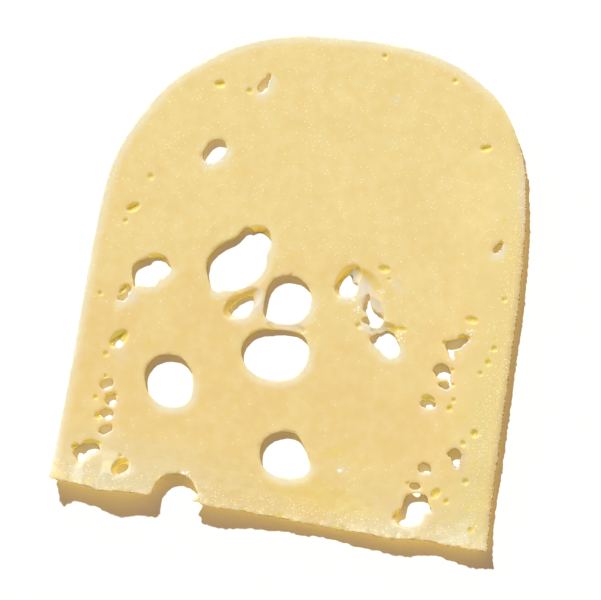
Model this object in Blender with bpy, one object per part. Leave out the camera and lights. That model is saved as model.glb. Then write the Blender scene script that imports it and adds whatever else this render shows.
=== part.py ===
"""A thin slice of Swiss-type cheese, cut across an arched loaf.

The slice lies on z = 0. Its straight cut base runs along X at -Y and its arch points to +Y. It is
flat but for the base, which has dried and curled up off the table, most of all at the left corner,
and the right side, which stands a little proud of it. Round eyes go right through it, and shallow
bubbles are cut open in its upper face.
"""
import math

import bmesh
import bpy
from mathutils import Matrix, Vector

# All dimensions are in millimetres. MM turns them into metres.
MM = 0.001
THICKNESS = 2.0
HALF_WIDTH = 50.3
HALF_LENGTH = 55.6

# Steps of the curves, of the bubbles and of the splits that let the slice bend.
OUTLINE_STEPS = 4
EYE_STEPS = 4
SMALL_EYE_STEPS = 2
PIT_STEPS = 2
BUBBLE_STEPS = 3
CURL_STEP = (4, 3)
SIDE_STEP = (4, 6)
CORNER_COLUMNS = (-49.0, -48.0, -46.0, -45.0)
CORNER_ROWS = (-50.5, -53.25, -54.25)
CORNER_BOX = (-43.0, -49.0)
EDGE_MARGIN = 0.001
CUT_CLEARANCE = 1.0
PIT_LIMIT = 2.0
FLAT_ANGLE = math.radians(0.5)
WELD = 0.0001

# The outline runs anticlockwise. Cut corners and straight cuts are sharp, the rest is round.
BASE_LEFT = ((-HALF_WIDTH, -54.3), (-49.2, -54.8), (-41.0, -55.1), (-38.5, -HALF_LENGTH),
             (-36.0, -55.2), (-33.0, -54.8), (-28.0, -54.6), (-26.8, -54.2))
NOTCH = ((-26.6, -52.6), (-25.7, -50.8), (-23.9, -49.3), (-21.2, -48.8), (-18.9, -49.5),
         (-17.5, -50.9))
BASE_RIGHT = ((-16.5, -52.4), (-17.4, -54.3), (-14.8, -54.8), (-5.0, -54.6), (8.0, -54.9),
              (29.0, -55.0), (34.5, -54.1), (43.0, -54.3), (HALF_WIDTH, -54.2))
ARCH = ((49.9, -49.0), (49.3, -38.0), (48.9, -28.0), (48.4, -16.0), (48.0, -5.0), (47.8, 2.5),
        (47.4, 8.0), (46.5, 17.5), (45.3, 26.0), (43.4, 34.3), (40.0, 41.1), (36.3, 46.2),
        (31.0, 50.1), (25.0, 53.1), (17.0, 55.1), (8.5, HALF_LENGTH), (0.0, 55.2), (-11.8, 53.8),
        (-21.8, 50.8), (-31.8, 44.8), (-38.8, 38.3), (-44.3, 29.3), (-48.2, 19.5), (-49.4, 11.0),
        (-49.7, 3.0), (-49.8, -12.0), (-49.8, -28.0), (-50.1, -46.0))

# Eyes that go right through, each a smooth loop of points on its upper rim.
TWIN_EYE = ((-23.6, 0.0), (-22.6, 2.5), (-20.6, 4.7), (-18.3, 6.3), (-17.3, 7.7), (-16.3, 8.9),
            (-15.3, 9.0), (-13.8, 8.3), (-11.8, 8.3), (-10.3, 7.4), (-10.0, 6.2), (-10.5, 4.0),
            (-10.4, 0.5), (-12.5, -2.8), (-15.0, -4.9), (-19.0, -6.0), (-20.9, -6.4), (-22.6, -4.2))
MIDDLE_EYE = ((-9.1, -5.0), (-8.6, -2.8), (-7.0, -1.0), (-4.2, -0.2), (-1.3, -0.9), (0.7, -2.9),
              (1.3, -5.5), (0.7, -8.2), (-1.0, -10.2), (-4.0, -11.1), (-7.4, -10.9), (-8.8, -9.8),
              (-9.1, -7.5))
LOWER_EYE = ((-12.5, -18.0), (-11.6, -15.5), (-9.4, -13.5), (-6.0, -12.7), (-2.4, -12.4),
             (0.4, -12.9), (1.9, -14.3), (2.7, -17.6), (1.6, -21.2), (-1.3, -23.4), (-5.2, -24.1),
             (-9.2, -23.1), (-11.7, -20.9))
BASE_EYE = ((-4.3, -40.3), (-4.0, -38.4), (-2.8, -36.7), (-1.1, -35.6), (1.6, -35.1), (3.5, -35.7),
            (5.0, -37.3), (6.6, -40.0), (7.4, -42.0), (6.7, -43.9), (5.0, -45.0), (1.8, -45.5),
            (-1.0, -45.1), (-2.9, -44.0), (-4.0, -42.2))
LEFT_EYE = ((-33.1, -27.5), (-32.5, -25.2), (-30.6, -23.2), (-28.0, -22.5), (-25.6, -22.8),
            (-23.4, -24.6), (-22.3, -26.6), (-21.9, -30.0), (-22.3, -32.0), (-23.6, -33.3),
            (-27.2, -34.1), (-29.6, -33.4), (-31.6, -31.8), (-32.6, -29.9))
UPPER_EYE = ((-28.7, 23.4), (-28.2, 25.3), (-27.2, 26.9), (-25.4, 27.6), (-24.1, 26.9),
             (-23.7, 25.7), (-24.1, 24.2), (-25.2, 22.8), (-26.7, 22.0), (-28.1, 22.2))
WEST_EYE = ((-40.0, -5.1), (-39.7, -3.5), (-38.7, -2.6), (-37.3, -1.8), (-36.0, -1.3),
            (-34.4, -1.2), (-33.0, -1.6), (-31.8, -2.4), (-31.5, -3.6), (-32.1, -4.9),
            (-33.6, -6.0), (-34.0, -7.2), (-36.0, -8.0), (-38.0, -8.2), (-38.9, -8.6),
            (-39.4, -7.4))
TORN_EYE = ((-16.5, -10.3), (-15.4, -8.4), (-13.9, -7.0), (-12.2, -6.3), (-11.5, -7.4),
            (-11.8, -9.6), (-12.9, -11.2), (-14.4, -11.5), (-16.0, -11.1))
EAST_EYE = ((6.9, -1.5), (6.9, -0.5), (7.6, 0.7), (8.7, 2.1), (9.5, 1.4), (9.8, 0.7), (10.9, 0.8),
            (11.2, 0.0), (11.0, -1.3), (10.3, -2.4), (9.0, -2.7), (7.8, -2.6))
RAGGED_EYE = ((13.6, -1.2), (14.3, -2.2), (14.8, -3.6), (16.0, -4.7), (17.8, -5.7), (18.2, -6.8),
              (17.8, -7.9), (16.2, -8.5), (14.6, -8.1), (13.6, -7.8), (13.4, -7.0), (14.5, -6.2),
              (13.6, -5.3), (13.1, -4.3), (13.4, -3.0))
SIDE_EYE = ((15.9, -11.3), (16.5, -10.2), (18.0, -9.5), (19.7, -8.8), (20.9, -9.0), (21.8, -10.1),
            (22.9, -12.0), (22.8, -13.5), (21.3, -14.4), (19.8, -14.3), (18.6, -13.4),
            (16.8, -12.3))
# The cluster of small eyes down the right side, from the top.
RIGHT_EYES = (
    ((33.0, -9.9), (33.2, -8.9), (34.5, -8.3), (35.7, -7.8), (37.2, -7.3), (38.0, -7.7),
     (37.1, -8.7), (36.3, -9.8), (35.2, -10.4), (35.3, -11.5), (35.6, -12.4), (34.6, -12.1),
     (33.9, -11.1), (33.4, -10.5)),
    ((31.3, -16.0), (31.5, -14.9), (32.4, -14.0), (33.6, -13.9), (34.8, -14.7), (35.3, -15.9),
     (35.6, -17.6), (35.9, -18.7), (35.4, -18.5), (34.8, -17.3), (33.6, -17.3), (32.6, -17.2),
     (31.8, -16.5)),
    ((33.0, -18.9), (33.5, -18.1), (34.6, -17.9), (35.5, -18.4), (35.6, -19.0), (34.8, -19.6),
     (34.0, -19.3)),
    ((29.6, -23.4), (30.3, -22.8), (31.8, -22.6), (33.1, -23.2), (32.8, -24.2), (31.5, -24.5),
     (30.2, -24.3)),
    ((37.6, -33.9), (38.5, -32.7), (39.7, -32.5), (40.8, -33.4), (40.8, -34.6), (41.0, -35.9),
     (40.3, -36.7), (39.2, -35.6), (38.6, -34.7)),
    ((31.6, -37.9), (32.0, -37.1), (33.0, -36.7), (34.2, -37.2), (34.8, -38.3), (34.3, -39.0),
     (33.0, -39.1), (32.0, -38.8)),
    ((30.4, -42.4), (30.7, -41.9), (31.8, -41.6), (33.0, -42.1), (32.5, -43.0), (31.4, -43.2),
     (30.7, -42.9)),
    ((30.1, -45.0), (31.0, -44.2), (32.6, -43.9), (34.1, -43.9), (35.1, -44.7), (35.5, -45.8),
     (36.2, -46.8), (36.3, -47.6), (35.0, -47.9), (34.8, -49.3), (33.8, -50.8), (31.8, -51.7),
     (29.6, -51.5), (28.7, -50.3), (29.3, -48.7), (29.8, -47.0), (29.8, -46.0)),
)
# The column of small eyes down the left side, and two slots high up.
LEFT_EYES = (
    ((-41.2, -22.1), (-40.6, -21.1), (-39.8, -21.0), (-39.2, -21.6), (-39.9, -22.9), (-40.8, -22.7)),
    ((-42.7, -31.8), (-42.4, -31.0), (-41.4, -30.4), (-40.3, -30.3), (-39.8, -31.1),
     (-40.0, -32.0), (-41.3, -32.9), (-42.3, -32.7)),
    ((-41.0, -35.0), (-40.6, -34.3), (-39.5, -33.9), (-38.5, -34.4), (-38.6, -35.7),
     (-39.1, -36.3), (-40.2, -36.1), (-40.8, -35.7)),
    ((-41.4, -38.1), (-40.8, -37.0), (-39.8, -37.0), (-38.7, -37.4), (-38.7, -38.7),
     (-39.2, -39.3), (-40.4, -39.3), (-41.1, -38.8)),
    ((-41.1, -41.9), (-40.6, -41.3), (-39.4, -40.7), (-38.3, -40.7), (-38.4, -41.8),
     (-39.8, -42.9), (-40.8, -42.8)),
    ((-46.0, -48.1), (-45.6, -47.0), (-44.6, -46.1), (-43.2, -45.5), (-41.9, -45.3),
     (-40.4, -45.8), (-40.3, -46.8), (-42.0, -48.0), (-43.1, -49.2), (-44.2, -50.3), (-45.2, -49.2)),
    ((-35.5, -50.6), (-35.2, -49.4), (-34.2, -48.8), (-33.1, -49.0), (-33.3, -50.0),
     (-34.3, -51.0), (-35.2, -51.5)),
    ((-42.2, -12.0), (-41.3, -11.0), (-40.5, -10.1), (-40.3, -8.8), (-39.7, -8.6),
     (-39.7, -10.5), (-40.3, -12.0), (-41.2, -12.3)),
    ((-19.0, 40.1), (-18.3, 41.9), (-17.3, 43.5), (-16.7, 44.2), (-16.8, 42.6), (-16.9, 41.0),
     (-17.8, 39.7)),
    ((40.1, 13.2), (40.6, 14.5), (41.5, 15.3), (41.8, 14.6), (41.2, 13.3), (40.5, 12.8)),
)

# How far an eye's wall leans in from its upper rim to its lower rim: x, y.
LEANS = {TWIN_EYE: (0.3, -0.35), LOWER_EYE: (0.3, -0.35), WEST_EYE: (0.3, -0.35),
         LEFT_EYE: (0.15, -0.15), BASE_EYE: (0.1, -0.15), UPPER_EYE: (0.1, -0.1)}

# Bubbles cut open by the upper face: x, y, half length, half width, depth, turn in degrees.
# A bubble that is deeper than the slice is thick goes through and leaves a sloping wall.
BUBBLES = (
    (-13.0, 7.0, 3.0, 2.9, 2.4, 0.0),
    (-34.4, -2.0, 2.6, 1.6, 2.1, -12.0),
    (-14.1, -8.1, 5.2, 2.7, 0.9, 45.0),
    (-3.4, -11.9, 4.8, 1.5, 0.6, 0.0),
    (8.7, 1.0, 4.2, 2.4, 2.1, 62.0),
    (13.2, 0.6, 4.6, 3.0, 0.45, -40.0),
    (15.4, -4.2, 4.2, 2.2, 0.7, -50.0),
    (18.7, -8.75, 3.2, 2.0, 1.35, 6.0),
    (22.4, -7.8, 1.7, 0.7, 0.3, 5.0),
    (-40.3, -20.9, 2.6, 1.5, 1.7, 50.0),
    (-41.0, -9.7, 1.7, 0.9, 1.1, 60.0),
    (-39.6, -34.0, 1.4, 0.9, 1.2, 10.0),
    (-41.7, -38.8, 1.2, 0.8, 0.9, 35.0),
    (-34.9, -49.5, 2.4, 1.7, 1.3, 50.0),
    (-45.7, -46.8, 1.1, 0.9, 1.0, 40.0),
    (-42.2, -45.4, 2.3, 0.9, 0.8, 5.0),
    (28.8, -49.5, 1.6, 0.8, 1.4, 65.0),
    (36.6, -43.1, 1.5, 1.0, 0.7, 50.0),
    (31.4, -22.5, 1.9, 1.2, 0.9, -12.0),
    (36.9, -7.3, 1.6, 0.9, 1.4, 0.0),
    (37.9, -2.9, 1.7, 0.9, 0.6, 0.0),
    (34.4, 36.0, 1.5, 0.7, 0.9, 20.0),
    (16.4, 5.1, 1.5, 0.9, 0.5, 0.0),
    (-42.2, 9.0, 1.8, 0.9, 1.2, 35.0),
    (-27.6, 40.0, 1.3, 0.8, 1.0, 10.0),
)
# Pinholes and small pits: x, y, radius, depth.
PITS = (
    (-20.7, 39.6, 0.7, 0.6), (8.2, 52.6, 0.6, 0.6), (24.8, 49.8, 0.6, 0.6),
    (-39.5, 16.6, 0.8, 0.4), (-43.4, 5.7, 0.7, 0.4), (41.5, 15.2, 0.7, 0.6), (44.4, 2.9, 0.7, 0.4),
    (41.9, -14.6, 0.6, 0.5), (43.2, -11.9, 0.8, 0.4), (44.0, -8.5, 0.8, 0.4),
    (37.0, -21.6, 0.6, 0.7), (36.4, -23.6, 0.8, 0.6), (43.0, -28.2, 1.0, 0.8),
    (40.8, -30.9, 0.8, 0.4), (42.8, -39.3, 0.8, 0.5), (39.3, -44.5, 0.6, 0.7),
    (45.8, -49.9, 0.7, 0.5), (12.8, -8.6, 0.8, 0.4), (-43.2, -34.9, 0.6, 0.6),
    (-46.2, -11.5, 0.6, 0.5), (-42.6, -24.8, 0.7, 0.6), (-35.3, -47.0, 0.5, 0.7),
    (32.8, -9.1, 0.6, 0.8), (-41.7, -29.8, 0.5, 0.6), (30.0, -42.0, 0.6, 0.5),
    (17.9, 3.0, 0.4, 0.4), (35.5, -14.9, 0.5, 0.6), (36.3, -18.2, 0.4, 0.8),
)

# Hollows cut open by the lower face, under the thin strands: x, y, half length, half width, depth.
UNDERCUTS = ((31.9, -43.5, 1.5, 1.1, 1.65),)

# How far the base has lifted off the table at y = BASE_Y: x, lift. Its lip has dried into waves.
BASE_Y = -54.8
CURL_FROM_Y = -40.0
CURL_POWER = 2.0
CURL_LIFT = ((-HALF_WIDTH, 3.0), (-46.0, 3.0), (-42.5, 3.6), (-40.0, 3.2), (-37.0, 4.8),
             (-33.0, 4.4), (-28.0, 3.9), (-17.0, 4.0), (-13.0, 3.8), (-7.0, 2.9), (0.0, 2.1),
             (6.0, 1.7), (12.0, 1.1), (18.0, 1.8), (22.0, 2.3), (27.0, 2.3), (32.5, 2.9),
             (36.0, 2.0), (40.0, 2.1), (45.0, 3.6), (HALF_WIDTH, 2.8))
CORNER = (-HALF_WIDTH, BASE_Y)
CORNER_LIFT = 3.4
CORNER_REACH = 5.0
# The right side stands proud of the table from SIDE_FROM on, and comes down again near the base.
SIDE_LIFT = 1.35
SIDE_FROM = (26.0, 38.0)
SIDE_REACH = (24.0, 18.0)
SIDE_END_Y = -32.0
SIDE_END_REACH = 18.0

CHEESE_COLOUR = (0.86, 0.68, 0.30, 1.0)
CHEESE_ROUGHNESS = 0.5


def clear_scene():
    """Start from an empty scene."""
    for item in list(bpy.data.objects):
        bpy.data.objects.remove(item, do_unlink=True)


def collection_named(name):
    """Add a collection to the scene."""
    group = bpy.data.collections.new(name)
    bpy.context.scene.collection.children.link(group)
    return group


def cheese_material():
    """Pale yellow, slightly moist cheese."""
    material = bpy.data.materials.new("cheese")
    material.use_nodes = True
    shader = material.node_tree.nodes["Principled BSDF"]
    shader.inputs["Base Color"].default_value = CHEESE_COLOUR
    shader.inputs["Roughness"].default_value = CHEESE_ROUGHNESS
    shader.inputs["Metallic"].default_value = 0.0
    return material


def flat_solid(name, points, sharp, low, high, steps, group, lean=(0.0, 0.0)):
    """Extrude a closed outline from z = low to z = high and return it as a mesh object.

    The walls lean by the given x and y over the thickness of the slice, from its upper face down.
    """
    curve = bpy.data.curves.new(f"{name}_outline", "CURVE")
    curve.dimensions = "2D"
    curve.fill_mode = "BOTH"
    curve.extrude = (high - low) / 2 * MM
    curve.resolution_u = steps
    spline = curve.splines.new("BEZIER")
    spline.bezier_points.add(len(points) - 1)
    spline.use_cyclic_u = True
    for knot, (x, y) in zip(spline.bezier_points, points):
        knot.co = (x * MM, y * MM, 0.0)
        handle = "VECTOR" if (x, y) in sharp else "AUTO"
        knot.handle_left_type = handle
        knot.handle_right_type = handle
    guide = bpy.data.objects.new(f"{name}_outline", curve)
    guide.location.z = (high + low) / 2 * MM
    group.objects.link(guide)
    bpy.context.view_layer.update()
    evaluated = guide.evaluated_get(bpy.context.evaluated_depsgraph_get())
    mesh = bpy.data.meshes.new_from_object(evaluated)
    work = bmesh.new()
    work.from_mesh(mesh)
    bmesh.ops.transform(work, matrix=guide.matrix_world, verts=work.verts)
    bmesh.ops.remove_doubles(work, verts=work.verts, dist=WELD * MM)
    bmesh.ops.recalc_face_normals(work, faces=work.faces)
    for vertex in work.verts:
        below = 1.0 - vertex.co.z / (THICKNESS * MM)
        vertex.co.x += lean[0] * below * MM
        vertex.co.y += lean[1] * below * MM
    work.to_mesh(mesh)
    work.free()
    solid = bpy.data.objects.new(name, mesh)
    group.objects.link(solid)
    bpy.data.objects.remove(guide)
    return solid


def bubble(name, place, radii, turn, steps, group):
    """A ball stretched to three radii and turned about Z."""
    mesh = bpy.data.meshes.new(name)
    work = bmesh.new()
    bmesh.ops.create_icosphere(work, subdivisions=steps, radius=1.0)
    scale = Matrix.Diagonal((*(radius * MM for radius in radii), 1.0))
    spin = Matrix.Rotation(math.radians(turn), 4, "Z")
    shift = Matrix.Translation(Vector(place) * MM)
    bmesh.ops.transform(work, matrix=shift @ spin @ scale, verts=work.verts)
    work.to_mesh(mesh)
    work.free()
    ball = bpy.data.objects.new(name, mesh)
    group.objects.link(ball)
    return ball


def cut(solid, cutter):
    """Take one shape out of the slice."""
    cutter.hide_render = True
    cutter.display_type = "WIRE"
    modifier = solid.modifiers.new(cutter.name, "BOOLEAN")
    modifier.operation = "DIFFERENCE"
    modifier.solver = "EXACT"
    modifier.object = cutter


def cut_eyes(solid, group):
    """Cut every eye that goes right through."""
    large_eyes = (TWIN_EYE, MIDDLE_EYE, LOWER_EYE, BASE_EYE, LEFT_EYE, UPPER_EYE, WEST_EYE,
                  TORN_EYE, EAST_EYE, RAGGED_EYE, SIDE_EYE)
    for number, points in enumerate(large_eyes + RIGHT_EYES + LEFT_EYES):
        steps = EYE_STEPS if points in large_eyes else SMALL_EYE_STEPS
        cut(solid, flat_solid(f"eye_{number:02d}", points, (), -CUT_CLEARANCE,
                              THICKNESS + CUT_CLEARANCE, steps, group, LEANS.get(points, (0.0, 0.0))))


def cut_bubbles(solid, group):
    """Cut the bubbles and pits that the upper face opens."""
    # A ball centred above the face by this share of its height meets the face at an easy slope.
    raised = 0.6
    rim = math.sqrt(1.0 - raised ** 2)
    pits = tuple((x, y, radius, radius, depth, 0.0) for x, y, radius, depth in PITS)
    for number, (x, y, length, width, depth, turn) in enumerate(BUBBLES + pits):
        height = depth / (1.0 - raised)
        steps = PIT_STEPS if length < PIT_LIMIT else BUBBLE_STEPS
        cut(solid, bubble(f"bubble_{number:02d}", (x, y, THICKNESS + raised * height),
                          (length / rim, width / rim, height), turn, steps, group))


def cut_undersides(solid, group):
    """Cut the hollows that the lower face opens."""
    for number, (x, y, length, width, depth) in enumerate(UNDERCUTS):
        cut(solid, bubble(f"undercut_{number:02d}", (x, y, 0.0), (length, width, depth), 0.0,
                          PIT_STEPS, group))


def eased(value):
    """A smooth step from 0 to 1."""
    value = min(max(value, 0.0), 1.0)
    return value * value * (3.0 - 2.0 * value)


def base_lift(x):
    """The lift of the base at x, read smoothly between the given places."""
    for (x0, lift0), (x1, lift1) in zip(CURL_LIFT, CURL_LIFT[1:]):
        if x <= x1:
            return lift0 + (lift1 - lift0) * eased((x - x0) / (x1 - x0))
    return CURL_LIFT[-1][1]


def lift(x, y):
    """How far the slice stands off the table at one place."""
    along = max(0.0, (CURL_FROM_Y - y) / (CURL_FROM_Y - BASE_Y))
    height = base_lift(x) * along ** CURL_POWER
    distance = math.dist((x, y), CORNER)
    height += CORNER_LIFT * max(0.0, 1.0 - distance / CORNER_REACH) ** 2
    side = eased((x - SIDE_FROM[0]) / SIDE_REACH[0]) * eased((SIDE_FROM[1] - y) / SIDE_REACH[1])
    side *= 1.0 - eased((SIDE_END_Y - y) / SIDE_END_REACH)
    return height + SIDE_LIFT * side


def split(work, normal, places, low, high):
    """Split the faces between two corners of the plan with planes at places along the normal."""
    for place in places:
        faces = [face for face in work.faces
                 if all(low[axis] - EDGE_MARGIN <= vertex.co[axis] / MM <= high[axis] + EDGE_MARGIN
                        for vertex in face.verts for axis in (0, 1))]
        edges = {edge for face in faces for edge in face.edges}
        vertices = {vertex for face in faces for vertex in face.verts}
        bmesh.ops.bisect_plane(work, geom=[*vertices, *edges, *faces], dist=WELD * MM,
                               plane_co=normal * place * MM, plane_no=normal)


def grid_cut(work):
    """Give the parts that lift off the table enough edges to bend along."""
    across = Vector((1.0, 0.0, 0.0))
    along = Vector((0.0, 1.0, 0.0))
    side_x, side_y = SIDE_FROM
    low = (-HALF_WIDTH, -HALF_LENGTH)
    high = (HALF_WIDTH, HALF_LENGTH)
    split(work, along, (CURL_FROM_Y, side_y), low, high)
    split(work, across, (side_x,), low, (HALF_WIDTH, side_y))
    split(work, across, range(int(side_x), int(HALF_WIDTH), SIDE_STEP[0]), (side_x, low[1]),
          (HALF_WIDTH, side_y))
    split(work, along, range(int(side_y), int(CURL_FROM_Y), -SIDE_STEP[1]), (side_x, CURL_FROM_Y),
          (HALF_WIDTH, side_y))
    split(work, along, range(int(CURL_FROM_Y), int(BASE_Y), -CURL_STEP[1]), low,
          (HALF_WIDTH, CURL_FROM_Y))
    columns = range(int(-HALF_WIDTH) + CURL_STEP[1], int(side_x), CURL_STEP[0])
    split(work, across, columns, low, (side_x, CURL_FROM_Y))
    split(work, across, CORNER_COLUMNS, low, CORNER_BOX)
    split(work, along, CORNER_ROWS, low, CORNER_BOX)


def bend(solid):
    """Fix the cuts into the mesh and curl it."""
    bpy.context.view_layer.update()
    evaluated = solid.evaluated_get(bpy.context.evaluated_depsgraph_get())
    mesh = bpy.data.meshes.new_from_object(evaluated)
    mesh.transform(solid.matrix_world)
    work = bmesh.new()
    work.from_mesh(mesh)
    bmesh.ops.remove_doubles(work, verts=work.verts, dist=WELD * MM)
    bmesh.ops.dissolve_limit(work, angle_limit=FLAT_ANGLE, verts=work.verts, edges=work.edges)
    grid_cut(work)
    bmesh.ops.triangulate(work, faces=work.faces)
    for vertex in work.verts:
        vertex.co.z += lift(vertex.co.x / MM, vertex.co.y / MM) * MM
    work.to_mesh(mesh)
    work.free()
    solid.modifiers.clear()
    solid.data = mesh
    solid.matrix_world = Matrix.Identity(4)


def build_slice():
    """Make the slice."""
    pieces = collection_named("cheese")
    cutters = collection_named("cheese_cutters")
    outline = BASE_LEFT + NOTCH + BASE_RIGHT + ARCH
    solid = flat_solid("cheese_slice", outline, BASE_LEFT + BASE_RIGHT, 0.0, THICKNESS,
                       OUTLINE_STEPS, pieces)
    cut_eyes(solid, cutters)
    cut_bubbles(solid, cutters)
    cut_undersides(solid, cutters)
    bend(solid)
    solid.data.materials.clear()
    solid.data.materials.append(cheese_material())


clear_scene()
build_slice()
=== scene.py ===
"""A slice of holed Swiss-type cheese on a white table in hard light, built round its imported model."""
import itertools
import math

import bmesh
import bpy
import numpy as np
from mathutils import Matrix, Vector


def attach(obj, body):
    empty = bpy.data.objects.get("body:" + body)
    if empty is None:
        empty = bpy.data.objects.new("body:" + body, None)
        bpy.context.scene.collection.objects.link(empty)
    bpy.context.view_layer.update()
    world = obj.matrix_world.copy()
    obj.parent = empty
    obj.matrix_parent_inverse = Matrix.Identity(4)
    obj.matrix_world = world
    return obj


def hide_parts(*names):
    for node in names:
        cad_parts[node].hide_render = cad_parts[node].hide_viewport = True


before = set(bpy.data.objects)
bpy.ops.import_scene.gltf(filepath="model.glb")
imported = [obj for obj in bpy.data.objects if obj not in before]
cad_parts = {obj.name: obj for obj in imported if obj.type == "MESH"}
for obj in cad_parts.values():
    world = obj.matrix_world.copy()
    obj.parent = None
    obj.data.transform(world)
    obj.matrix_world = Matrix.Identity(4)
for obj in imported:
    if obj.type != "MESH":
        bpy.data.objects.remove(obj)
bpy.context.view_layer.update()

MM = 0.001
NODE = "cheese_slice"

# The camera looks straight down. Up in the picture leans this far to the left of the slice's own +Y.
PICTURE_TURN = math.radians(9.93)
PICTURE_WIDTH = 136.4 * MM
PICTURE_CENTRE = Vector((-1.16, -5.20, 2.0)) * MM
CAMERA_HEIGHT = 2.0
CAMERA_REACH = 10.0
# Blender takes this one in millimetres.
SENSOR_WIDTH = 36.0

# The key light: where it comes from over the table, and its height above the horizon.
KEY_FROM = Vector((-0.515, 0.854)).normalized()
KEY_ELEVATION = math.radians(45.7)
KEY_STRENGTH = 4.19
KEY_SPREAD = math.radians(2.0)
KEY_COLOUR = (0.825, 0.945, 1.0)

# The even light from all round, and the table, which lies a hair below the slice.
FILL_COLOUR = (0.34, 0.225, 0.155)
FILL_STRENGTH = 1.0
FLOOR_COLOUR = (0.90, 0.90, 0.90)
FLOOR_SIZE = 30.0
FLOOR_DROP = 0.02 * MM

# The sheet's thickness, and its fine mesh: the size of the even faces and how many are kept.
THICKNESS = 2.0 * MM
WELD = 0.001 * MM
VOXEL = 0.2 * MM
TRIANGLES = 185000

# The plan of the slice: its cells, the room left round it, how far distances are measured, and
# how far round a cell its empty share is taken.
CELL = 0.25 * MM
PLAN_MARGIN = 2.0 * MM
PLAN_REACH = 5.0 * MM
OPEN_REACH = 3.0 * MM

# Random relief, each with its size, its height and its seed. First the soft swells and the grain.
SWELL = (4.0 * MM, 0.05 * MM, 1)
GRAIN = (0.9 * MM, 0.02 * MM, 2)
# How far the cut edges wander: everywhere, the base's crumbs, the right side's teeth, the torn rims.
WANDER = (1.6 * MM, 0.07 * MM, 3)
CRUMBS = (0.9 * MM, 0.35 * MM, 4)
TEETH = (0.45 * MM, 0.30 * MM, 5)
TORN_RIMS = (0.5 * MM, 0.22 * MM, 7)
# How the base's lip waves up and down.
LIP_WAVES = (1.4 * MM, 0.22 * MM, 6)
# The side of the random lattice that all of them are read from.
LATTICE = 64

# In the pairs from here to the shares, something starts to show or fade at the first value, and is
# done at the second. First the strips along the right side and the base: where they are dry, ragged
# or curled, and where the underside of their lips glows.
SIDE_DRY_X = (34.0 * MM, 46.0 * MM)
SIDE_DRY_Y = (46.0 * MM, 35.0 * MM)
SIDE_LIP_X = (40.0 * MM, 44.0 * MM)
BASE_DRY_Y = (-48.0 * MM, -52.5 * MM)
BASE_RAGGED_Y = (-48.5 * MM, -51.5 * MM)
BASE_CURL_Y = (-38.0 * MM, -44.0 * MM)
BASE_LIP_Y = (-47.0 * MM, -51.0 * MM)
# The base's corners, by their distance from the middle.
CORNER_X = (10.0 * MM, 30.0 * MM)
# The share of the side's dryness at which it is grainy too.
GRAINY_SIDE = (0.6, 1.0)

# Distances from the nearest edge, of the outline or of an eye.
WANDER_REACH = (0.0, 0.9 * MM)
LIP_REACH = (0.4 * MM, 2.0 * MM)
PIT_REACH = (0.2 * MM, 0.6 * MM)
SHINE_REACH = (0.1 * MM, 0.5 * MM)
HALO_REACH = (0.2 * MM, 2.8 * MM)
RIM_REACH = (0.3 * MM, 0.8 * MM)
LEE_RIM_REACH = (0.3 * MM, 1.5 * MM)
LAMP_SIDE_SHADE_REACH = (0.0, 1.5 * MM)
EDGE_REACH = (0.4 * MM, 2.2 * MM)
BRINK_REACH = (0.35 * MM, 0.6 * MM)
EYE_GLOW_REACH = (1.0 * MM, 3.0 * MM)
BASE_GLOW_REACH = (1.5 * MM, 5.0 * MM)
SIDE_GLOW_REACH = (1.0 * MM, 3.0 * MM)
# Distances from the outline alone.
OUTLINE_REACH = (0.3 * MM, 1.0 * MM)
FRINGE_REACH = (0.8 * MM, 2.5 * MM)

# Depths below the upper face, and the height of an underside that has left the table.
UPPER_DEPTH = (0.2 * MM, 0.6 * MM)
WALL_DEPTH = (0.1 * MM, 0.7 * MM)
PIT_DEPTH = (0.03 * MM, 0.2 * MM)
HALO_DEPTH = (0.5 * MM, 1.0 * MM)
LIFTED = (0.2 * MM, 1.0 * MM)

# How far up a face looks, as the z of its normal.
RELIEF_UP = (0.0, 0.6)
SHINE_UP = (0.2, 0.5)
SMEAR_UP = (-0.6, 0.6)
NOT_UNDER_UP = (0.0, 0.5)
FLAT_UP = (0.5, 0.8)

# How far a face looks towards the lamp or away from it, over the table.
LIT_WALL = (0.0, 0.5)
RIM_FACING = (0.08, 0.35)
SHADED_WALL = (0.3, 0.7)
# The same for the nearest edge: the light comes over the edge, its lee, or over the cheese.
LIT_EDGE = (0.0, 0.8)
SHADED_EDGE = (0.1, 0.7)

# The empty share round the small eyes and round the large ones.
OPEN_SHARES = (0.14, 0.55)

# Where the distance from the nearest edge changes less than this, a cut edge moves less.
SURE_SLOPE = 0.2
# The part of an oval, and of a speck, that has its full strength.
OVAL_CORE = 0.35
SPECK_CORE = 0.6

# The shares. How much less golden it is in a smear, at the outline, and where hollows are greener.
SMEAR_LOSS, OUTLINE_LOSS, GREEN_LOSS = 0.9, 0.7, 0.2
# The least share of painted halos, towards the lamp, and what they lose between small eyes and in the
# curled part.
LEAST_HALO, CLUSTER_LOSS, CURL_LOSS = 0.1, 0.7, 0.5
# Shares of painted shade: on rims in the lee of an edge, and near edges where light comes over the
# cheese.
LEE_RIM_SHADE_SHARE, LAMP_SIDE_SHADE_SHARE = 0.55, 0.5
# The pale lip: in its middle, what the corners add, its fringe, and painted light where corners tilt to
# the lamp.
LIP_SHARE, CORNER_SHARE, FRINGE_SHARE, CORNER_CURL_SHARE = 0.1, 0.65, 0.4, 0.6
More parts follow.
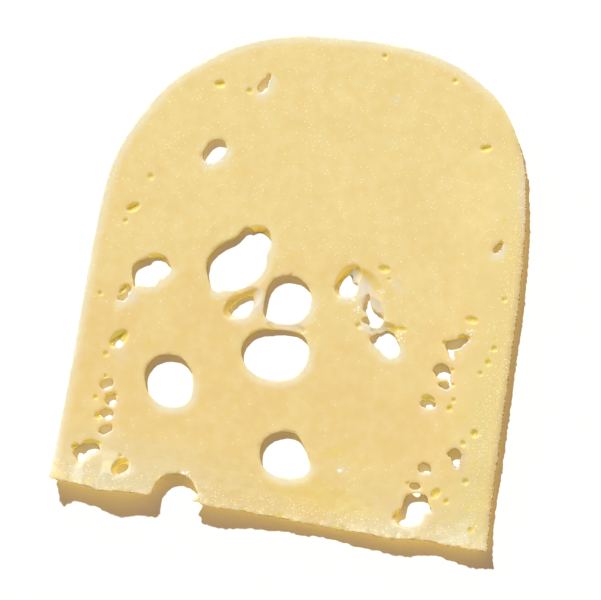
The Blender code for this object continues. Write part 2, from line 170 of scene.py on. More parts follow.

# Cheese colours, and the painted light and shade laid over them.
UPPER_COLOUR = (0.815, 0.66, 0.316)
LOWER_COLOUR = (0.80, 0.615, 0.277)
LIGHTER_COLOUR = (0.89, 0.78, 0.50)
DARKER_COLOUR = (0.74, 0.53, 0.12)
# Hollow gold on slopes facing the lamp, and a brighter gold as painted light in the shade of walls.
PIT_COLOUR = (0.72, 0.51, 0.10)
PAINTED_LIGHT_WALL_COLOUR = (1.0, 0.78, 0.14)
GREEN_PIT_COLOUR = (0.775, 0.61, 0.10)
# Painted light: pale halos near edges, strongest where the light comes over the edge.
PAINTED_HALO_COLOUR = (0.80, 0.77, 0.61)
SMEAR_COLOUR = (0.76, 0.68, 0.55)
# Painted shade: a duller, greyer tone on rims that catch the lamp, offsetting their extra light.
RIM_SHADE_COLOUR = (0.60, 0.52, 0.42)
LIP_COLOUR = (0.81, 0.70, 0.43)
SIDE_COLOUR = (0.79, 0.655, 0.29)
# Painted shade: darker along the right side's edge, on the side away from the lamp.
SIDE_EDGE_SHADE_COLOUR = (0.68, 0.52, 0.245)
# Painted shade: a darker yellow near edges on the lamp's side of an eye.
LAMP_SIDE_SHADE_COLOUR = (0.66, 0.46, 0.17)
# Bright specks: partly pale specks in the cheese, partly painted glints of the lamp.
SPECK_AND_GLINT_COLOUR = (1.0, 0.92, 0.60)
DARK_SPECK_COLOUR = (0.66, 0.46, 0.20)
CRUMB_COLOUR = (1.0, 1.0, 0.92)
# Painted shade: dark dots where tiny notches in the right edge would show the shadow.
NOTCH_SHADE_COLOUR = (0.30, 0.11, 0.01)
# Painted shade where the base and right side tilt to the lamp: this tint, in full at this much more
# light.
CURL_PAINTED_SHADE_TINT = (0.70, 0.70, 0.70)
CURL_LIFT = 0.33

# The body's colour goes from the lower to the upper one over this part of y, with soft patches.
RISE_Y = (-30.0 * MM, 30.0 * MM)
PATCH_SIZE = 16.0 * MM
MOTTLE_SIZE = 2.5 * MM
MOTTLE_DETAIL = 4.0
# Steps over a noise or a share: where they start and end, and what they give there if not 0 and 1.
PATCH_STEP = (0.3, 0.7, -0.4, 0.4)
LIGHTER_STEP = (0.45, 0.7, 0.0, 0.14)
DARKER_STEP = (0.55, 0.3, 0.0, 0.14)
RISE_RARITY = (0.2, 0.8, 0.97, 0.7)
MOTTLE_RARITY = (0.4, 0.6, 0.15, -0.1)
CRUMB_STEP = (0.1, 0.4)
# The painted shade of tiny notches along the right edge: its steps, and how far apart the dots are.
NOTCH_SHADE_STEP = (0.27, 0.17)
NOTCH_SHADE_PITCH = 0.62 * MM
# The specks of each kind: how far apart, how large, the share left out, and a shift from the others.
# The rare ones' share left out changes over the slice.
RARE_SPECKS = {"pitch": 0.6 * MM, "radius": 0.145 * MM}
DENSE_SPECKS = {"pitch": 0.38 * MM, "radius": 0.13 * MM, "rarity": 0.72, "shift": 1.3}
DARK_SPECKS = {"pitch": 0.42 * MM, "radius": 0.14 * MM, "rarity": 0.8, "shift": 3.7}
WHITE_CRUMBS = {"pitch": 0.45 * MM, "radius": 0.26 * MM, "rarity": 0.3, "shift": 2.1}

# The moist skin's small bumps, and how far light goes under it.
BUMP_SIZE = 0.7 * MM
BUMP_DETAIL = 3.0
BUMP_HEIGHT = 0.05 * MM
BUMP_STRENGTH = 0.25
LIGHT_DEPTH = 2.0 * MM

# The colour sockets of Blender's Mix node.
MIX_FIRST, MIX_SECOND, MIX_RESULT = 6, 7, 2

# The warm light that comes out of the cheese's shaded walls and underside, in large eyes and in
# small ones, and its strength at the base's lip, at the right side's, in small eyes and in large ones.
GLOW_COLOUR = (0.62, 0.41, 0.04)
SMALL_GLOW_COLOUR = (0.62, 0.46, 0.12)
BASE_GLOW, SIDE_GLOW, SMALL_EYE_GLOW, LARGE_EYE_GLOW = 1.2, 1.0, 0.53, 0.28
# The light that shows in the golden walls that face away from the lamp.
SHINE_COLOUR = (0.31, 0.18, 0.015)
GREEN_SHINE_COLOUR = (0.22, 0.26, 0.05)
PALE_SHINE_COLOUR = (0.25, 0.20, 0.13)

# Ovals on the plan, in millimetres: x, y, half length, half width, turn in degrees, strength.
# Soft pale places: the torn part's thin film, the bridges between eyes, and some faint patches.
PALE_PLACES = (
    (12.6, -0.6, 5.2, 2.6, -55.0, 0.9), (15.2, -3.6, 4.5, 3.2, -40.0, 0.7),
    (19.8, 1.8, 2.6, 1.2, -45.0, 0.5), (10.2, 2.4, 2.4, 1.6, -50.0, 0.7),
    (16.8, -8.9, 4.2, 1.6, 10.0, 0.8), (-3.4, -11.7, 5.2, 1.3, 0.0, 0.8),
    (-10.3, -7.0, 1.6, 4.2, 10.0, 0.8), (-38.2, -11.6, 2.2, 1.6, 30.0, 0.4),
    (14.4, -41.5, 1.8, 1.2, 20.0, 0.5), (12.5, 43.5, 1.3, 1.0, 0.0, 0.5),
    (-38.5, -25.0, 3.0, 1.8, 0.0, 0.25), (44.0, -36.0, 14.0, 5.0, 85.0, 0.12),
    (44.8, 27.0, 15.0, 2.0, 100.0, 0.35),
)
# Where hollows aren't golden.
CALM_PLACES = (
    (15.5, -1.2, 6.5, 4.0, -55.0, 0.9), (31.9, -43.5, 2.4, 1.2, 0.0, 1.0),
)
# Golden smears and spots.
GOLDEN_PLACES = (
    (12.4, 3.4, 3.0, 1.2, -30.0, 0.35), (16.4, 5.1, 2.0, 1.1, 0.0, 0.6),
    (12.0, -38.1, 3.2, 1.9, 15.0, 0.3), (10.0, -48.0, 20.0, 5.0, -10.0, 0.25),
    (-41.5, -53.7, 1.3, 0.6, 20.0, 0.45), (-38.0, -49.5, 1.6, 1.0, 30.0, 0.25),
    (44.0, -45.3, 0.9, 0.5, 30.0, 0.7), (44.3, -34.9, 0.7, 0.5, 0.0, 0.7),
    (40.0, -24.8, 0.8, 0.5, 40.0, 0.7), (41.6, 20.8, 0.9, 0.4, 20.0, 0.6),
    (-33.3, -21.0, 0.5, 0.4, 0.0, 0.8), (-15.0, 43.8, 0.5, 0.4, 0.0, 0.7),
    (42.0, -37.1, 0.5, 0.4, 0.0, 0.8), (43.7, -6.0, 0.6, 0.4, 0.0, 0.7),
    (38.6, -25.0, 0.5, 0.4, 0.0, 0.7), (42.3, -26.5, 0.5, 0.4, 0.0, 0.7),
    (-43.0, -35.1, 0.6, 0.5, 0.0, 0.7), (42.9, -11.3, 1.2, 0.4, 40.0, 0.8),
    (44.3, -8.3, 0.9, 0.4, 25.0, 0.8), (22.3, -7.6, 1.6, 0.8, 5.0, 0.6),
)
# Where the hollows are a deep gold. Elsewhere they are greener.
WARM_PLACES = ((-10.0, -1.0, 38.0, 24.0, 0.0, 1.0),)
# Where small eyes gather, with little of the painted halos round them.
CLUSTER_PLACES = ((37.5, -25.0, 42.0, 14.0, 90.0, 1.0), (-39.5, -38.0, 26.0, 12.0, 90.0, 1.0))
# Where the rims are torn rather than smooth.
TORN_PLACES = (
    (-35.8, -4.8, 7.5, 6.5, 0.0, 1.0), (-14.0, -9.0, 5.5, 4.5, 0.0, 0.6),
    (15.0, -5.5, 16.0, 11.0, -40.0, 1.0), (35.0, -30.0, 30.0, 12.0, 90.0, 1.0),
    (-41.5, -38.0, 22.0, 9.5, 90.0, 1.0), (-41.0, -11.0, 5.0, 5.0, 0.0, 1.0),
    (-17.5, 42.0, 5.0, 3.0, 60.0, 1.0),
)
# Where white crumbs gather.
CRUMB_PLACES = (
    (16.5, -0.3, 1.0, 0.8, 0.0, 1.0), (10.5, -3.4, 1.0, 0.8, 0.0, 1.0),
    (12.0, -5.0, 1.2, 0.8, 40.0, 1.0), (22.8, -9.8, 1.5, 1.1, -60.0, 1.0),
    (37.8, -5.7, 1.5, 0.9, 30.0, 1.0), (-20.0, -48.5, 1.4, 0.9, 0.0, 0.8),
    (14.2, -41.8, 1.2, 0.5, 10.0, 1.0),
)


def new_piece(name, mesh):
    """Put a mesh in the scene."""
    piece = bpy.data.objects.new(name, mesh)
    bpy.context.scene.collection.objects.link(piece)
    return piece


def welded_copy(name):
    """A closed copy of a CAD node's mesh."""
    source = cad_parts[name]
    work = bmesh.new()
    work.from_mesh(source.data)
    work.transform(source.matrix_world)
    bmesh.ops.remove_doubles(work, verts=work.verts, dist=WELD)
    mesh = bpy.data.meshes.new(f"{name}_fine")
    work.to_mesh(mesh)
    work.free()
    return mesh


def apply_modifiers(piece):
    """Fix the modifiers into the mesh."""
    bpy.context.view_layer.update()
    evaluated = piece.evaluated_get(bpy.context.evaluated_depsgraph_get())
    mesh = bpy.data.meshes.new_from_object(evaluated)
    piece.modifiers.clear()
    piece.data = mesh


def remesh(piece):
    """Even small faces."""
    modifier = piece.modifiers.new("voxels", "REMESH")
    modifier.mode = "VOXEL"
    modifier.voxel_size = VOXEL
    apply_modifiers(piece)


def thin_out(piece):
    """Merge faces where the surface is flat."""
    triangles = sum(len(polygon.vertices) - 2 for polygon in piece.data.polygons)
    modifier = piece.modifiers.new("thin_out", "DECIMATE")
    modifier.ratio = min(1.0, TRIANGLES / triangles)
    apply_modifiers(piece)


def coordinates(mesh):
    """Vertex places and normals as arrays."""
    places = np.empty(len(mesh.vertices) * 3)
    mesh.vertices.foreach_get("co", places)
    normals = np.empty(len(mesh.vertices) * 3)
    mesh.vertices.foreach_get("normal", normals)
    return places.reshape(-1, 3), normals.reshape(-1, 3)


def toward_key():
    """The direction of the key light."""
    flat = KEY_FROM * math.cos(KEY_ELEVATION)
    return Vector((flat.x, flat.y, math.sin(KEY_ELEVATION)))


def eased(value, start, end):
    """A smooth step from 0 at start to 1 at end."""
    share = np.clip((value - start) / (end - start), 0.0, 1.0)
    return share * share * (3.0 - 2.0 * share)


def relief(places, size, height, seed):
    """Smooth random heights that change over the given size."""
    lattice = np.random.default_rng(seed).uniform(-1.0, 1.0, (LATTICE,) * 3)
    scaled = places / size
    corner = np.floor(scaled).astype(int)
    part = eased(scaled - corner, 0.0, 1.0)
    total = np.zeros(len(places))
    for offset in itertools.product((0, 1), repeat=3):
        share = np.prod(np.where(offset, part, 1.0 - part), axis=1)
        total += share * lattice[tuple(((corner + offset) % LATTICE).T)]
    return total * height


class Plan:
    """The slice seen from above, as a grid of small cells.

    For each cell, under is the height of the underside and tilt is how that rises, gap is the distance
    from the nearest edge and inward is how that grows, outer is the distance from the outline, and open
    is the empty share round the cell.
    """

    def __init__(self, places):
        self.low = places[:, :2].min(axis=0) - PLAN_MARGIN
        self.shape = tuple(np.ceil((places[:, :2].max(axis=0) + PLAN_MARGIN - self.low) / CELL)
                           .astype(int))
        under = np.full(self.shape, np.inf)
        cells = ((places[:, :2] - self.low) / CELL).astype(int)
        np.minimum.at(under, tuple(cells.T), places[:, 2])
        solid = np.isfinite(under)
        self.under = self.softened(self.softened(self.spread(under)))
        self.tilt = np.stack([self.softened(part) for part in np.gradient(self.under, CELL)],
                             axis=-1)
        self.open = self.empty_share(~solid)
        self.gap = self.softened(self.distance(~solid))
        self.outer = self.distance(self.outside(solid))
        self.inward = np.stack(np.gradient(self.gap, CELL), axis=-1)

    @staticmethod
    def spread(values):
        """Fill the empty cells from their neighbours."""
        while not np.isfinite(values).all():
            padded = np.pad(values, 1, constant_values=np.inf)
            around = np.minimum.reduce([padded[2:, 1:-1], padded[:-2, 1:-1], padded[1:-1, 2:],
                                        padded[1:-1, :-2]])
            values = np.where(np.isfinite(values), values, around)
        return values

    @staticmethod
    def outside(solid):
        """The empty cells round the slice, without those in its eyes."""
        outer = np.zeros(solid.shape, bool)
        outer[0] = outer[-1] = outer[:, 0] = outer[:, -1] = True
        count = 0
        while outer.sum() > count:
            count = outer.sum()
            outer[1:] |= outer[:-1] & ~solid[1:]
            outer[:-1] |= outer[1:] & ~solid[:-1]
            outer[:, 1:] |= outer[:, :-1] & ~solid[:, 1:]
            outer[:, :-1] |= outer[:, 1:] & ~solid[:, :-1]
        return outer

    @staticmethod
    def distance(mask):
        """How far each cell is from the mask, up to PLAN_REACH."""
        reach = int(PLAN_REACH / CELL)
        width, height = mask.shape
        padded = np.pad(mask, reach, constant_values=True)
        result = np.full(mask.shape, PLAN_REACH)
        for i, j in itertools.product(range(2 * reach + 1), repeat=2):
            away = math.hypot(i - reach, j - reach) * CELL
            if away < PLAN_REACH:
                near = padded[i:i + width, j:j + height]
                np.minimum(result, away, out=result, where=near)
        return result

    @staticmethod
    def empty_share(empty):
        """The empty share of the square within OPEN_REACH of each cell."""
        reach = int(OPEN_REACH / CELL)
        padded = np.pad(empty, reach, constant_values=True).astype(float)
        kernel = np.full(2 * reach + 1, 1.0 / (2 * reach + 1))
        for axis in (0, 1):
            padded = np.apply_along_axis(np.convolve, axis, padded, kernel, mode="valid")
        return padded

    @staticmethod
    def softened(values):
        """Each cell's mean with its four neighbours, its own value counted twice."""
        padded = np.pad(values, 1, mode="edge")
        return (padded[2:, 1:-1] + padded[:-2, 1:-1] + padded[1:-1, 2:] + padded[1:-1, :-2]
                + 2.0 * values) / 6.0

    def read(self, values, places):
        """The grid's values at some places, between the cells' middles."""
        spot = (places[:, :2] - self.low) / CELL - 0.5
        nearly_last = np.array(self.shape) - 1.001
        spot = np.clip(spot, 0.0, nearly_last)
        corner = spot.astype(int)
        part = spot - corner
        total = 0.0
        for i, j in itertools.product((0, 1), repeat=2):
            share = np.where(i, part[:, 0], 1.0 - part[:, 0])
            share *= np.where(j, part[:, 1], 1.0 - part[:, 1])
            found = values[corner[:, 0] + i, corner[:, 1] + j]
            total = total + (found.T * share).T
        return total


def greatest_spot(places, ovals):
    """The strongest of some soft ovals: its strength in its middle and 0 outside it."""
    result = np.zeros(len(places))
    for x, y, length, width, turn, strength in ovals:
        angle = math.radians(turn)
        across = places[:, 0] - x * MM
        along = places[:, 1] - y * MM
        u = (across * math.cos(angle) + along * math.sin(angle)) / (length * MM)
        v = (along * math.cos(angle) - across * math.sin(angle)) / (width * MM)
        result = np.maximum(result, strength * (1.0 - eased(np.hypot(u, v), OVAL_CORE, 1.0)))
    return result


def dry_side(places):
    """How far a place is into the right side's dried strip."""
    return eased(places[:, 0], *SIDE_DRY_X) * eased(places[:, 1], *SIDE_DRY_Y)


def roughen(piece, plan):
    """Move the surface a little: swells and grain, ragged cut edges and a wavy lip."""
    places, normals = coordinates(piece.data)
    upward = eased(normals[:, 2], *RELIEF_UP)
    swells = relief(places, *SWELL) + relief(places, *GRAIN)
    shift = normals * (swells * upward)[:, None]

    gap = plan.read(plan.gap, places)
    inward = plan.read(plan.inward, places)
    inward /= np.maximum(np.linalg.norm(inward, axis=1, keepdims=True), SURE_SLOPE)
    ragged = eased(places[:, 1], *BASE_RAGGED_Y)
    amount = relief(places, *WANDER)
    amount += relief(places, *CRUMBS) * ragged
    amount += relief(places, *TEETH) * dry_side(places)
    amount += relief(places, *TORN_RIMS) * greatest_spot(places, TORN_PLACES)
    near = 1.0 - eased(gap, *WANDER_REACH)
    shift[:, :2] += inward * (amount * near)[:, None]
    lip = ragged * (1.0 - eased(gap, *LIP_REACH))
    shift[:, 2] += relief(places, *LIP_WAVES) * lip
    piece.data.vertices.foreach_set("co", (places + shift).ravel())
    piece.data.update()


class Surface:
    """What the marks go by, for each vertex of the fine mesh.

    toward_light is 1 where a wall faces the lamp. lee is 1 where the light comes over the nearest
    edge, and -1 where it comes over the cheese.
    """

    def __init__(self, mesh, plan):
        self.mesh = mesh
        self.places, normals = coordinates(mesh)
        self.x, self.y = self.places[:, 0], self.places[:, 1]
        self.up = normals[:, 2]
        self.toward_light = normals[:, :2] @ np.array(KEY_FROM)
        self.lee = -(plan.read(plan.inward, self.places) @ np.array(KEY_FROM))
        self.gap = plan.read(plan.gap, self.places)
        self.outer = plan.read(plan.outer, self.places)
        self.open = plan.read(plan.open, self.places)
        self.under = plan.read(plan.under, self.places)
        self.depth = self.under + THICKNESS - self.places[:, 2]
        self.outline = 1.0 - eased(self.outer, *OUTLINE_REACH)
        self.smear = greatest_spot(self.places, PALE_PLACES)
        self.side = dry_side(self.places)
        curled = np.maximum(eased(self.y, *BASE_CURL_Y), self.side)
        # How much more lamp light the tilted base and right side get, for their painted shade.
        self.curl_light_gain = self.extra_light(plan.read(plan.tilt, self.places)) * curled

    @staticmethod
    def extra_light(tilt):
        """How much more of the lamp's light a tilted sheet gets, as a share of CURL_LIFT."""
        light = np.array(toward_key())
        facing = (light[2] - tilt @ light[:2]) / np.sqrt(1.0 + (tilt ** 2).sum(axis=1))
        return np.clip((facing / light[2] - 1.0) / CURL_LIFT, 0.0, 1.0)

    def store(self, name, values):
        """Store one number for each vertex, for the material."""
        self.mesh.attributes.new(name, "FLOAT", "POINT").data.foreach_set("value", values)


def mark_hollows(surface):
    """Golden walls, pits and smears, which of them are in the shade, and painted light in shaded walls.
    """
    # Painted light: walls are golden only where they face away from the lamp; pits whichever way they
    # face.
    wall = eased(surface.depth, *WALL_DEPTH) * (1.0 - eased(surface.toward_light, *LIT_WALL))
    pit = eased(surface.depth, *PIT_DEPTH) * eased(surface.gap, *PIT_REACH)
    golden = np.maximum(wall, pit) * (1.0 - SMEAR_LOSS * surface.smear)
    golden *= 1.0 - OUTLINE_LOSS * surface.outline
    golden *= 1.0 - greatest_spot(surface.places, CALM_PLACES)
    green = 1.0 - greatest_spot(surface.places, WARM_PLACES)
    golden *= 1.0 - GREEN_LOSS * green
    golden = np.maximum(golden, greatest_spot(surface.places, GOLDEN_PLACES))
    surface.store("golden", golden)
    shade = eased(-surface.toward_light, *SHADED_WALL)
    surface.store("shade", shade)
    surface.store("green", green)
    shine = shade * eased(surface.up, *SHINE_UP) * eased(surface.gap, *SHINE_REACH)
    surface.store("shine", shine * np.maximum(golden, surface.smear))


def mark_rims(surface):
    """Painted halos, painted shade on rims and on the lamp's side of edges, smears and white crumbs."""
    lee = eased(surface.lee, *LIT_EDGE)
    # Painted light: pale halos near the edges, mostly where the light comes over the edge.
    painted_halo = (1.0 - eased(surface.gap, *HALO_REACH)) * (LEAST_HALO + (1.0 - LEAST_HALO) * lee)
    painted_halo *= 1.0 - CLUSTER_LOSS * greatest_spot(surface.places, CLUSTER_PLACES)
    painted_halo *= (1.0 - eased(surface.depth, *HALO_DEPTH)) * (1.0 - CURL_LOSS * surface.curl_light_gain)
    surface.store("pale", painted_halo)
    # Painted shade on rims that face the lamp or lie in the lee of an edge, offsetting their extra
    # light.
    rim_shade = eased(surface.toward_light, *RIM_FACING) * (1.0 - eased(surface.gap, *RIM_REACH))
    lee_rim_shade = lee * (1.0 - eased(surface.gap, *LEE_RIM_REACH))
    surface.store("rim_shade", np.maximum(rim_shade, LEE_RIM_SHADE_SHARE * lee_rim_shade))
    surface.store("smear", surface.smear * eased(surface.up, *SMEAR_UP))
    # Painted shade near an edge where the light comes over the cheese.
    lamp_side_shade = (1.0 - eased(surface.gap, *LAMP_SIDE_SHADE_REACH)) * eased(-surface.lee, *SHADED_EDGE)
    surface.store("lamp_side_shade", lamp_side_shade)
    surface.store("crumbs", greatest_spot(surface.places, CRUMB_PLACES))


def mark_dried(surface):
    """The curled base with its pale lip and painted shade, and the right side with painted shade by its
    edge.
    """
    upper = 1.0 - eased(surface.depth, *UPPER_DEPTH)
    lip = eased(surface.y, *BASE_DRY_Y) * upper
    corner = eased(np.abs(surface.x), *CORNER_X)
    # The extra lamp light on tilted parts, for their painted shade and the lip's painted light.
    surface.store("curl_light_gain", surface.curl_light_gain)
    fringe = lip * (1.0 - eased(surface.outer, *FRINGE_REACH))
    pale_lip = np.maximum(lip * (LIP_SHARE + CORNER_SHARE * corner), FRINGE_SHARE * fringe)
    # Behind the corners the pale lip grows with the extra lamp light: painted light.
    surface.store("lip", np.maximum(pale_lip, CORNER_CURL_SHARE * surface.curl_light_gain * corner * upper))
    surface.store("side", surface.side)
    surface.store("dry", np.maximum(lip, eased(surface.side, *GRAINY_SIDE)))
    # Painted shade along the right side's edge.
    surface.store("edge", surface.side * (1.0 - eased(surface.gap, *EDGE_REACH)))
    # Where the painted shade of tiny notches goes.
    surface.store("brink", surface.side * (1.0 - eased(surface.gap, *BRINK_REACH)))


def mark_glow(surface):
    """Where warm light comes out: the shaded walls of eyes, and the undersides of lifted lips."""
    small = 1.0 - eased(surface.open, *OPEN_SHARES)
    surface.store("small", small * (1.0 - surface.outline))
    resting = 1.0 - eased(surface.under, *LIFTED)
    flat = eased(surface.up, *FLAT_UP) + eased(-surface.up, *FLAT_UP) * resting
    eyes = (LARGE_EYE_GLOW + (SMALL_EYE_GLOW - LARGE_EYE_GLOW) * small) * (1.0 - flat)
    eyes *= 1.0 - eased(surface.gap, *EYE_GLOW_REACH)
    under = 1.0 - eased(surface.up, *NOT_UNDER_UP)
    base_lip = eased(surface.y, *BASE_LIP_Y) * (1.0 - eased(surface.gap, *BASE_GLOW_REACH)) * under
    side_lip = eased(surface.x, *SIDE_LIP_X) * (1.0 - eased(surface.gap, *SIDE_GLOW_REACH)) * under
    glow = np.maximum.reduce([eyes, BASE_GLOW * base_lip, SIDE_GLOW * side_lip])
    surface.store("glow", glow)


class Nodes:
    """Short calls for making shader nodes."""

    def __init__(self, material):
        material.use_nodes = True
        self.tree = material.node_tree
        self.tree.nodes.clear()

    def add(self, kind, inputs=None, **settings):
        """A node with values or links on its inputs, by name or number."""
        node = self.tree.nodes.new(kind)
        for name, value in settings.items():
            setattr(node, name, value)
        for name, value in (inputs or {}).items():
            self.feed(node.inputs[name], value)
        return node

    def feed(self, socket, value):
        """Link a socket, or set its value."""
        if isinstance(value, bpy.types.NodeSocket):
            self.tree.links.new(value, socket)
        else:
            socket.default_value = value

    def value(self, name):
        """A number stored on the mesh."""
        return self.add("ShaderNodeAttribute", attribute_name=name).outputs["Fac"]

    def noise(self, place, size, detail=2.0):
        """Noise from 0 to 1 that changes over the given size."""
        inputs = {"Vector": place, "Scale": 1.0 / size, "Detail": detail}
        return self.add("ShaderNodeTexNoise", inputs).outputs["Fac"]

    def step(self, value, start, end, low=0.0, high=1.0):
        """A smooth step from low at start to high at end."""
        inputs = {"Value": value, "From Min": start, "From Max": end, "To Min": low, "To Max": high}
        return self.add("ShaderNodeMapRange", inputs, interpolation_type="SMOOTHSTEP").outputs[0]

    def maths(self, operation, first, second):
        """A sum, a product or the like."""
        return self.add("ShaderNodeMath", {0: first, 1: second}, operation=operation).outputs[0]

    def blend(self, share, first, second, kind="MIX"):
        """A colour between two, or with MULTIPLY the first tinted with the second."""
        node = self.add("ShaderNodeMix", {0: share}, data_type="RGBA", blend_type=kind)
        for socket, colour in ((MIX_FIRST, first), (MIX_SECOND, second)):
            self.feed(node.inputs[socket], (*colour, 1.0) if isinstance(colour, tuple) else colour)
        return node.outputs[MIX_RESULT]

    def shader_mix(self, share, first, second):
        """A shader between two."""
        return self.add("ShaderNodeMixShader", {0: share, 1: first, 2: second}).outputs[0]

    def shader_sum(self, first, second):
        """Two shaders at once."""
        return self.add("ShaderNodeAddShader", {0: first, 1: second}).outputs[0]

    def emission(self, colour, strength):
        """Light from the surface itself."""
        inputs = {"Color": colour, "Strength": strength}
        return self.add("ShaderNodeEmission", inputs).outputs[0]


def specks(nodes, place, pitch, radius, rarity, shift=0.0):
    """Small round specks: pitch and radius are lengths, and rarity hides a share of them."""
    moved = nodes.add("ShaderNodeVectorMath", {0: place, 1: (shift, shift, shift)}).outputs[0]
    cells = nodes.add("ShaderNodeTexVoronoi", {"Vector": moved, "Scale": 1.0 / pitch})
    shape = nodes.step(cells.outputs["Distance"], radius / pitch, SPECK_CORE * radius / pitch)
    pick = nodes.add("ShaderNodeSeparateColor", {0: cells.outputs["Color"]}).outputs[0]
    return nodes.maths("MULTIPLY", shape, nodes.maths("GREATER_THAN", pick, rarity))


def body_colour(nodes, rise, mottle):
    """Mottled pale yellow, drier along the right side and the base, with painted shade on tilts and by
    edges.
    """
    colour = nodes.blend(rise, LOWER_COLOUR, UPPER_COLOUR)
    for share, tint in ((nodes.step(mottle, *LIGHTER_STEP), LIGHTER_COLOUR),
                        (nodes.step(mottle, *DARKER_STEP), DARKER_COLOUR),
                        (nodes.value("side"), SIDE_COLOUR),
                        (nodes.value("edge"), SIDE_EDGE_SHADE_COLOUR),
                        (nodes.value("lip"), LIP_COLOUR)):
        colour = nodes.blend(share, colour, tint)
    # Painted shade where the sheet tilts to the lamp and gets more light.
    colour = nodes.blend(nodes.value("curl_light_gain"), colour, CURL_PAINTED_SHADE_TINT, "MULTIPLY")
    # Painted shade on the lamp's side of edges.
    lamp_side_shade = nodes.maths("MULTIPLY", nodes.value("lamp_side_shade"), LAMP_SIDE_SHADE_SHARE)
    return nodes.blend(lamp_side_shade, colour, LAMP_SIDE_SHADE_COLOUR)


def with_hollows(nodes, colour):
    """Golden or greener hollows, painted light in their shade, painted halos, smears, shade painted on
    rims.
    """
    # Painted light: a brighter gold where a hollow's wall lies in the shade.
    hollow = nodes.blend(nodes.value("shade"), PIT_COLOUR, PAINTED_LIGHT_WALL_COLOUR)
    hollow = nodes.blend(nodes.value("green"), hollow, GREEN_PIT_COLOUR)
    for name, tint in (("golden", hollow), ("pale", PAINTED_HALO_COLOUR), ("smear", SMEAR_COLOUR),
                       ("rim_shade", RIM_SHADE_COLOUR)):
        colour = nodes.blend(nodes.value(name), colour, tint)
    return colour


def with_specks(nodes, colour, place, height, rise, mottle):
    """Dark specks, bright ones partly painted glints, white crumbs, and painted notch shade at the
    right edge.
    """
    dried = nodes.value("dry")
    dark = nodes.maths("MULTIPLY", dried, specks(nodes, place, **DARK_SPECKS))
    dense = nodes.maths("MULTIPLY", dried, specks(nodes, place, **DENSE_SPECKS))
    rarity = nodes.maths("ADD", nodes.step(rise, *RISE_RARITY), nodes.step(mottle, *MOTTLE_RARITY))
    rare = specks(nodes, place, rarity=rarity, **RARE_SPECKS)
    crumbs = nodes.maths("MULTIPLY", nodes.step(nodes.value("crumbs"), *CRUMB_STEP),
                         specks(nodes, place, **WHITE_CRUMBS))
    row = nodes.add("ShaderNodeTexVoronoi", {"W": height, "Scale": 1.0 / NOTCH_SHADE_PITCH},
                    voronoi_dimensions="1D")
    # Painted shade: a row of dark dots at the right edge's brink, for tiny notches.
    notch_shade = nodes.maths("MULTIPLY", nodes.value("brink"),
                           nodes.step(row.outputs["Distance"], *NOTCH_SHADE_STEP))
    # Bright specks are partly painted glints.
    for share, tint in ((dark, DARK_SPECK_COLOUR), (nodes.maths("MAXIMUM", rare, dense), SPECK_AND_GLINT_COLOUR),
                        (crumbs, CRUMB_COLOUR), (notch_shade, NOTCH_SHADE_COLOUR)):
        colour = nodes.blend(share, colour, tint)
    return colour


def cheese_colour(nodes, place):
    """The cheese's colour with its hollows, rims and specks, and the light and shade painted into it.
    """
    height = nodes.add("ShaderNodeSeparateXYZ", {0: place}).outputs["Y"]
    patches = nodes.step(nodes.noise(place, PATCH_SIZE), *PATCH_STEP)
    rise = nodes.maths("ADD", nodes.step(height, *RISE_Y), patches)
    mottle = nodes.noise(place, MOTTLE_SIZE, MOTTLE_DETAIL)
    colour = with_hollows(nodes, body_colour(nodes, rise, mottle))
    return with_specks(nodes, colour, place, height, rise, mottle)


def cheese_material():
    """Moist, slightly translucent cheese.

    Light that has bounced off something finds a plain surface, which glows where light would come
    through the cheese.
    """
    material = bpy.data.materials.new("cheese")
    nodes = Nodes(material)
    place = nodes.add("ShaderNodeTexCoord").outputs["Object"]
    colour = cheese_colour(nodes, place)
    bumps = nodes.add("ShaderNodeBump", {"Height": nodes.noise(place, BUMP_SIZE, BUMP_DETAIL),
                                         "Strength": BUMP_STRENGTH, "Distance": BUMP_HEIGHT})
    cheese = nodes.add("ShaderNodeBsdfPrincipled", {
        "Base Color": colour, "Roughness": 0.45, "IOR": 1.4, "Subsurface Weight": 1.0,
        "Subsurface Radius": (1.0, 0.85, 0.6), "Subsurface Scale": LIGHT_DEPTH,
        "Normal": bumps.outputs["Normal"]})
    shine_colour = nodes.blend(nodes.value("green"), SHINE_COLOUR, GREEN_SHINE_COLOUR)
    shine_colour = nodes.blend(nodes.value("smear"), shine_colour, PALE_SHINE_COLOUR)
    shine = nodes.emission(shine_colour, nodes.value("shine"))
    shown = nodes.shader_sum(cheese.outputs[0], shine)

    plain = nodes.add("ShaderNodeBsdfDiffuse", {"Color": colour})
    glow_colour = nodes.blend(nodes.value("small"), GLOW_COLOUR, SMALL_GLOW_COLOUR)
    glow = nodes.emission(glow_colour, nodes.value("glow"))
    glowing = nodes.shader_sum(plain.outputs[0], glow)

    bounced = nodes.add("ShaderNodeLightPath").outputs["Is Diffuse Ray"]
    nodes.add("ShaderNodeOutputMaterial", {"Surface": nodes.shader_mix(bounced, shown, glowing)})
    material.cycles.emission_sampling = "NONE"
    return material


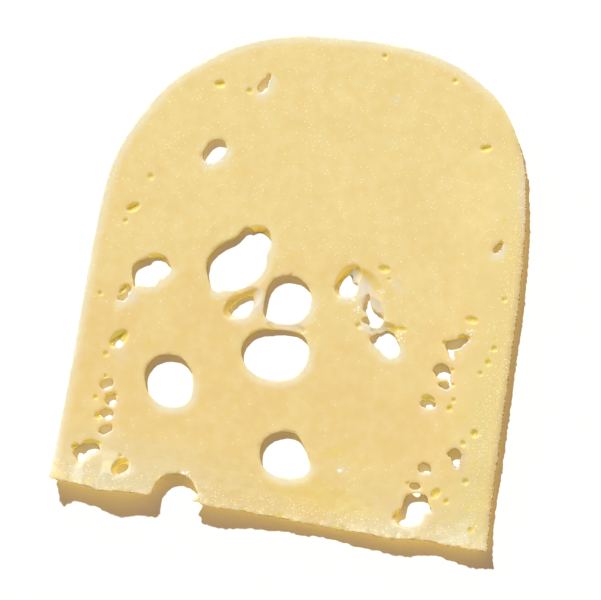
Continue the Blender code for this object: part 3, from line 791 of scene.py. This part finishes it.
def floor_material():
    """Plain white."""
    material = bpy.data.materials.new("floor")
    nodes = Nodes(material)
    shader = nodes.add("ShaderNodeBsdfPrincipled", {
        "Base Color": (*FLOOR_COLOUR, 1.0), "Roughness": 1.0, "Specular IOR Level": 0.0})
    nodes.add("ShaderNodeOutputMaterial", {"Surface": shader.outputs[0]})
    return material


def make_slice():
    """The slice's fine mesh in place of the CAD node."""
    piece = new_piece("cheese_surface", welded_copy(NODE))
    remesh(piece)
    roughen(piece, Plan(coordinates(piece.data)[0]))
    plan = Plan(coordinates(piece.data)[0])
    thin_out(piece)
    surface = Surface(piece.data, plan)
    for mark in (mark_hollows, mark_rims, mark_dried, mark_glow):
        mark(surface)
    piece.data.materials.append(cheese_material())
    piece.data.shade_smooth()
    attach(piece, "root")
    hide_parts(NODE)


def make_floor():
    """The white table."""
    bpy.ops.mesh.primitive_plane_add(size=FLOOR_SIZE)
    floor = bpy.context.object
    floor.name = "floor"
    floor.location.z = -FLOOR_DROP
    floor.data.materials.append(floor_material())


def make_lights():
    """One hard lamp from the upper left, and a dim, warm and even fill."""
    scene = bpy.context.scene
    key = bpy.data.objects.new("key", bpy.data.lights.new("key", "SUN"))
    key.data.energy = KEY_STRENGTH
    key.data.angle = KEY_SPREAD
    key.data.color = KEY_COLOUR
    key.rotation_euler = toward_key().to_track_quat("Z", "Y").to_euler()
    scene.collection.objects.link(key)

    world = bpy.data.worlds.new("fill")
    world.use_nodes = True
    background = world.node_tree.nodes["Background"]
    background.inputs["Color"].default_value = (*FILL_COLOUR, 1.0)
    background.inputs["Strength"].default_value = FILL_STRENGTH
    scene.world = world


def make_camera():
    """A distant camera straight above the slice, with colours shown as they are."""
    scene = bpy.context.scene
    camera = bpy.data.objects.new("camera", bpy.data.cameras.new("camera"))
    camera.data.sensor_width = SENSOR_WIDTH
    camera.data.lens = SENSOR_WIDTH * CAMERA_HEIGHT / PICTURE_WIDTH
    camera.data.clip_end = CAMERA_REACH
    camera.location = PICTURE_CENTRE + Vector((0.0, 0.0, CAMERA_HEIGHT))
    camera.rotation_euler = (0.0, 0.0, PICTURE_TURN)
    scene.collection.objects.link(camera)
    scene.camera = camera
    scene.view_settings.view_transform = "Standard"


make_slice()
make_floor()
make_lights()
make_camera()
